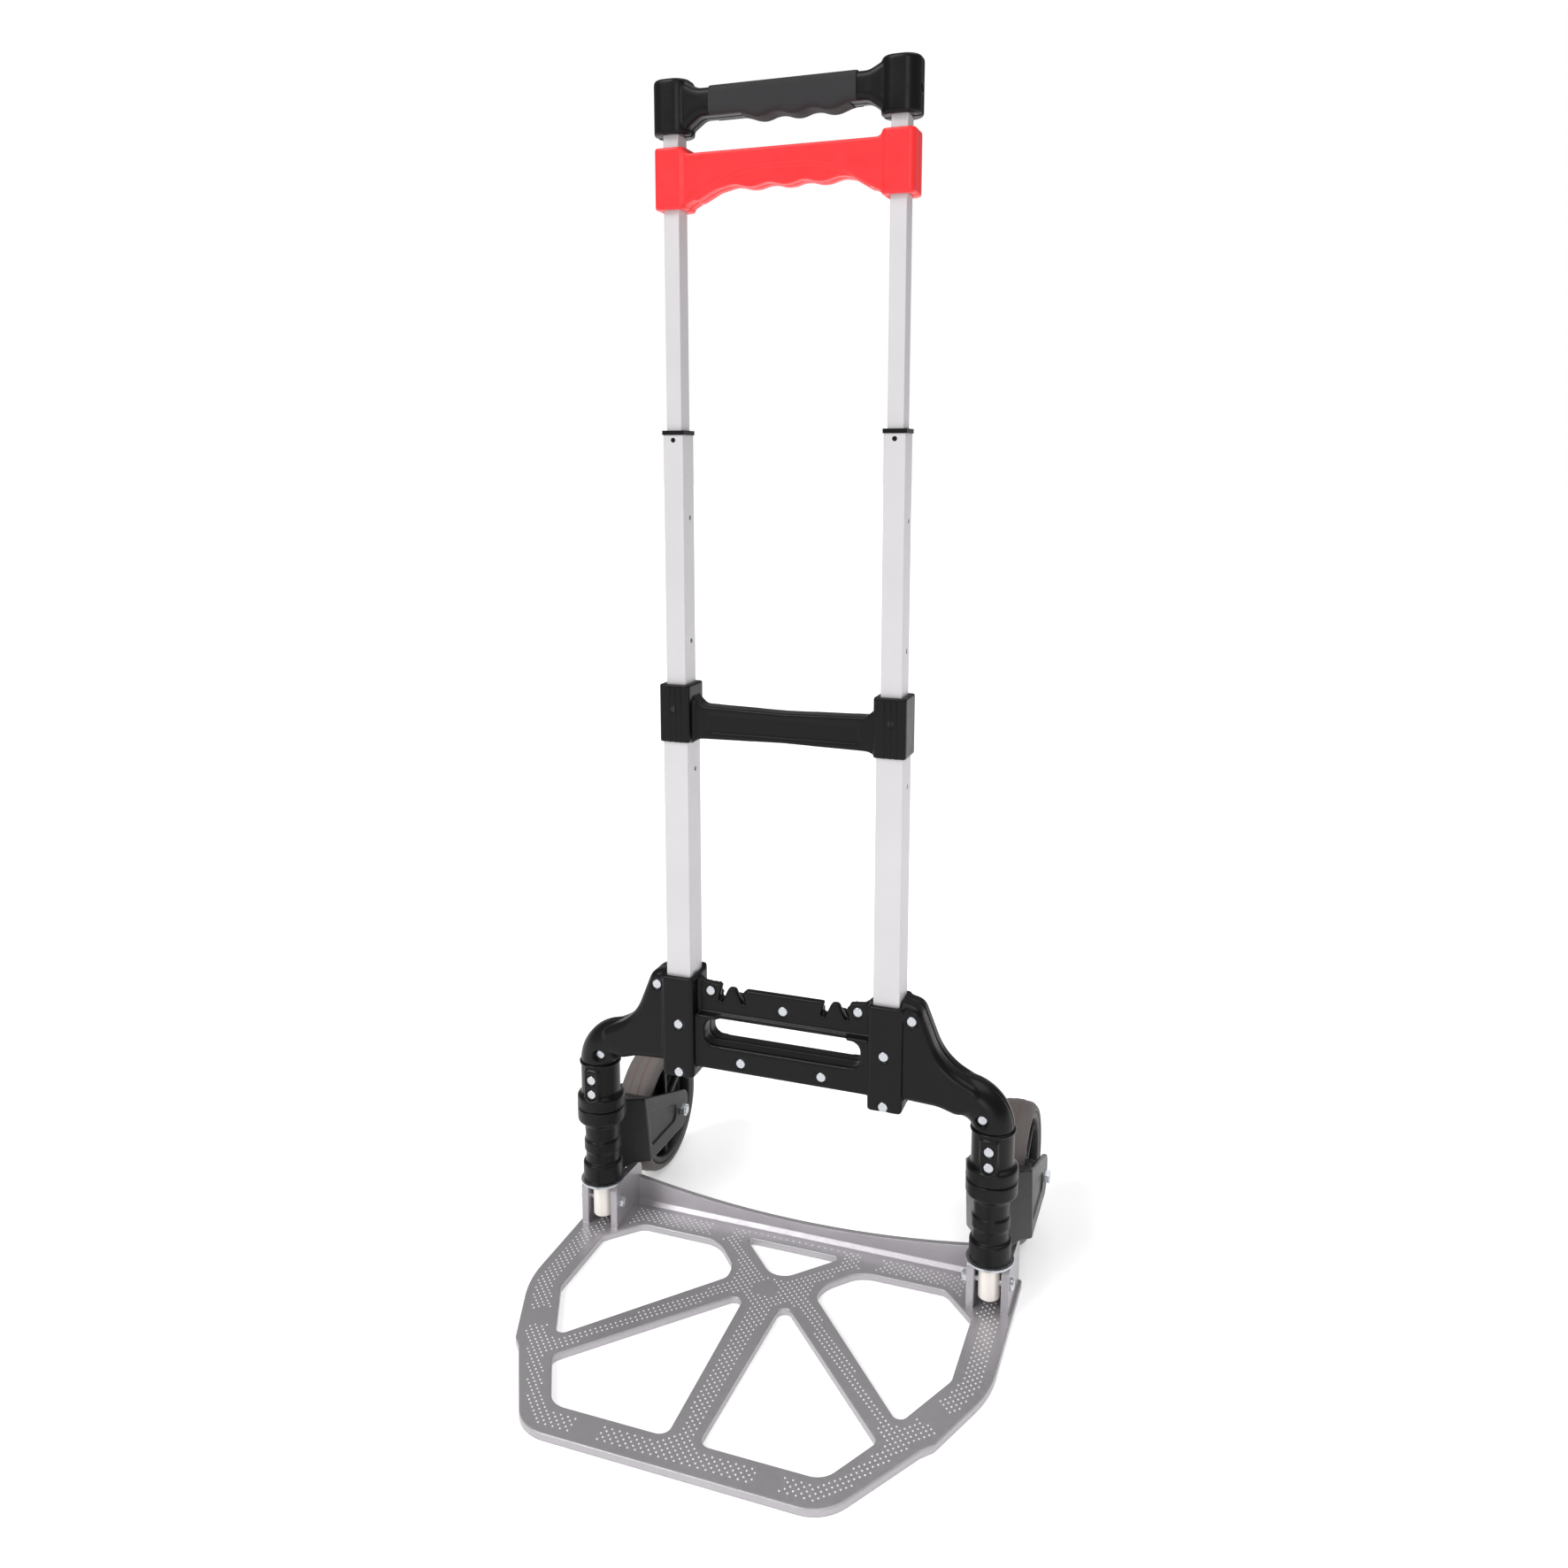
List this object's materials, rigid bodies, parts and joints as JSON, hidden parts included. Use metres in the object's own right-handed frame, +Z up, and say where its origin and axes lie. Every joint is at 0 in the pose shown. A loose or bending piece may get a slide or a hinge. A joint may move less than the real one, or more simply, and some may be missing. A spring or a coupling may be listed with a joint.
{
  "type": "hand truck",
  "caption": "Folding two-wheel hand truck with an openwork toe plate, swivelling wheels on side posts, telescoping tubes, a carry handle and a release handle below it.",
  "frame": {"origin": "on the floor at the middle of the whole footprint", "axes": "+Z up along the tubes, +X to the right seen from the load side, +Y away from the toe plate"},
  "size_m": [0.4262, 0.4334, 1.002],
  "materials": {
    "black_plastic": "moulded, fine grain, satin",
    "hub_plastic": "moulded, satin",
    "bush_plastic": "plain nylon",
    "grip_rubber": "soft, matt",
    "red_plastic": "moulded, satin",
    "tube_aluminium": "satin anodised",
    "plate_aluminium": "silver-grey powder coat with raised dots",
    "post_steel": "turned, warm silver",
    "zinc_steel": "bright zinc plate",
    "lock_steel": "plain",
    "tyre_rubber": "warm grey solid rubber, slightly worn tread"
  },
  "bodies": {
    "frame": {"frame_front_shell": "black_plastic", "frame_back_shell": "black_plastic", "frame_rivets": "zinc_steel", "left_lower_tube": "tube_aluminium", "right_lower_tube": "tube_aluminium", "left_post": "post_steel", "right_post": "post_steel", "left_post_collar": "black_plastic", "right_post_collar": "black_plastic", "collar_rivets": "zinc_steel", "left_thrust_washer": "zinc_steel", "right_thrust_washer": "zinc_steel", "crossbar": "black_plastic", "crossbar_screws": "zinc_steel", "lower_tube_guides": "black_plastic"},
    "toe_plate": {"toe_plate": "plate_aluminium", "hinge_bolts": "zinc_steel", "hinge_nuts": "zinc_steel"},
    "left_wheel_bracket": {"left_wheel_bracket": "black_plastic", "left_axle_bolt": "zinc_steel", "left_axle_nut": "zinc_steel"},
    "left_wheel": {"left_tyre": "tyre_rubber", "left_hub": "hub_plastic", "left_wheel_bush": "bush_plastic"},
    "right_wheel_bracket": {"right_wheel_bracket": "black_plastic", "right_axle_bolt": "zinc_steel", "right_axle_nut": "zinc_steel"},
    "right_wheel": {"right_tyre": "tyre_rubber", "right_hub": "hub_plastic", "right_wheel_bush": "bush_plastic"},
    "middle_stage": {"left_middle_tube": "tube_aluminium", "left_middle_foot": "black_plastic", "left_middle_collar": "black_plastic", "right_middle_tube": "tube_aluminium", "right_middle_foot": "black_plastic", "right_middle_collar": "black_plastic", "middle_collar_pins": "black_plastic"},
    "upper_stage": {"left_upper_tube": "tube_aluminium", "left_upper_foot": "black_plastic", "left_return_spring": "lock_steel", "right_upper_tube": "tube_aluminium", "right_upper_foot": "black_plastic", "right_return_spring": "lock_steel", "upper_tube_plugs": "black_plastic", "handle_front_shell": "black_plastic", "handle_back_shell": "black_plastic", "handle_grip": "grip_rubber", "handle_screws": "zinc_steel"},
    "release_handle": {"release_front_shell": "red_plastic", "release_back_shell": "red_plastic", "release_screws": "zinc_steel", "left_pull_rod": "lock_steel", "right_pull_rod": "lock_steel"},
    "left_middle_lock": {"left_middle_lock": "lock_steel"},
    "left_upper_lock": {"left_upper_lock": "lock_steel"},
    "right_middle_lock": {"right_middle_lock": "lock_steel"},
    "right_upper_lock": {"right_upper_lock": "lock_steel"}
  },
  "joints": [
    {"name": "toe_fold", "type": "hinge", "parent": "frame", "child": "toe_plate", "pos_m": [0, 0.0377, 0.0296], "axis": [-1, 0, 0], "range_deg": [0, 90]},
    {"name": "left_swivel", "type": "hinge", "parent": "frame", "child": "left_wheel_bracket", "pos_m": [-0.1805, 0.0377, 0.09], "axis": [0, 0, -1], "range_deg": [0, 90]},
    {"name": "left_wheel_spin", "type": "hinge", "parent": "left_wheel_bracket", "child": "left_wheel", "pos_m": [-0.1805, 0.1537, 0.0645], "axis": [1, 0, 0], "continuous": true},
    {"name": "right_swivel", "type": "hinge", "parent": "frame", "child": "right_wheel_bracket", "pos_m": [0.1805, 0.0377, 0.09], "axis": [0, 0, 1], "range_deg": [0, 90]},
    {"name": "right_wheel_spin", "type": "hinge", "parent": "right_wheel_bracket", "child": "right_wheel", "pos_m": [0.1805, 0.1537, 0.0645], "axis": [1, 0, 0], "continuous": true},
    {"name": "middle_slide", "type": "slide", "parent": "frame", "child": "middle_stage", "axis": [0, 0, 1], "range_m": [-0.205, 0]},
    {"name": "upper_slide", "type": "slide", "parent": "middle_stage", "child": "upper_stage", "axis": [0, 0, 1], "range_m": [-0.1715, 0]},
    {"name": "release_pull", "type": "slide", "parent": "upper_stage", "child": "release_handle", "axis": [0, 0, 1], "range_m": [0, 0.0085], "stiffness_N_per_m": 600, "springref_m": -0.008, "deforming": ["left_return_spring", "right_return_spring"]},
    {"name": "left_middle_lock_slide", "type": "slide", "parent": "middle_stage", "child": "left_middle_lock", "axis": [-1, 0, 0], "range_m": [0, 0.0021]},
    {"name": "right_middle_lock_slide", "type": "slide", "parent": "middle_stage", "child": "right_middle_lock", "axis": [-1, 0, 0], "range_m": [0, 0.0021]},
    {"name": "left_upper_lock_slide", "type": "slide", "parent": "upper_stage", "child": "left_upper_lock", "axis": [-1, 0, 0], "range_m": [0, 0.0021]},
    {"name": "right_upper_lock_slide", "type": "slide", "parent": "upper_stage", "child": "right_upper_lock", "axis": [-1, 0, 0], "range_m": [0, 0.0021]}
  ],
  "couplings": [
    {"joint": "left_swivel", "follows": "toe_fold", "ratio": 1},
    {"joint": "right_swivel", "follows": "toe_fold", "ratio": 1},
    {"joint": "left_middle_lock_slide", "follows": "release_pull", "ratio": 0.2353},
    {"joint": "right_middle_lock_slide", "follows": "release_pull", "ratio": 0.2353},
    {"joint": "left_upper_lock_slide", "follows": "release_pull", "ratio": 0.2353},
    {"joint": "right_upper_lock_slide", "follows": "release_pull", "ratio": 0.2353}
  ]
}
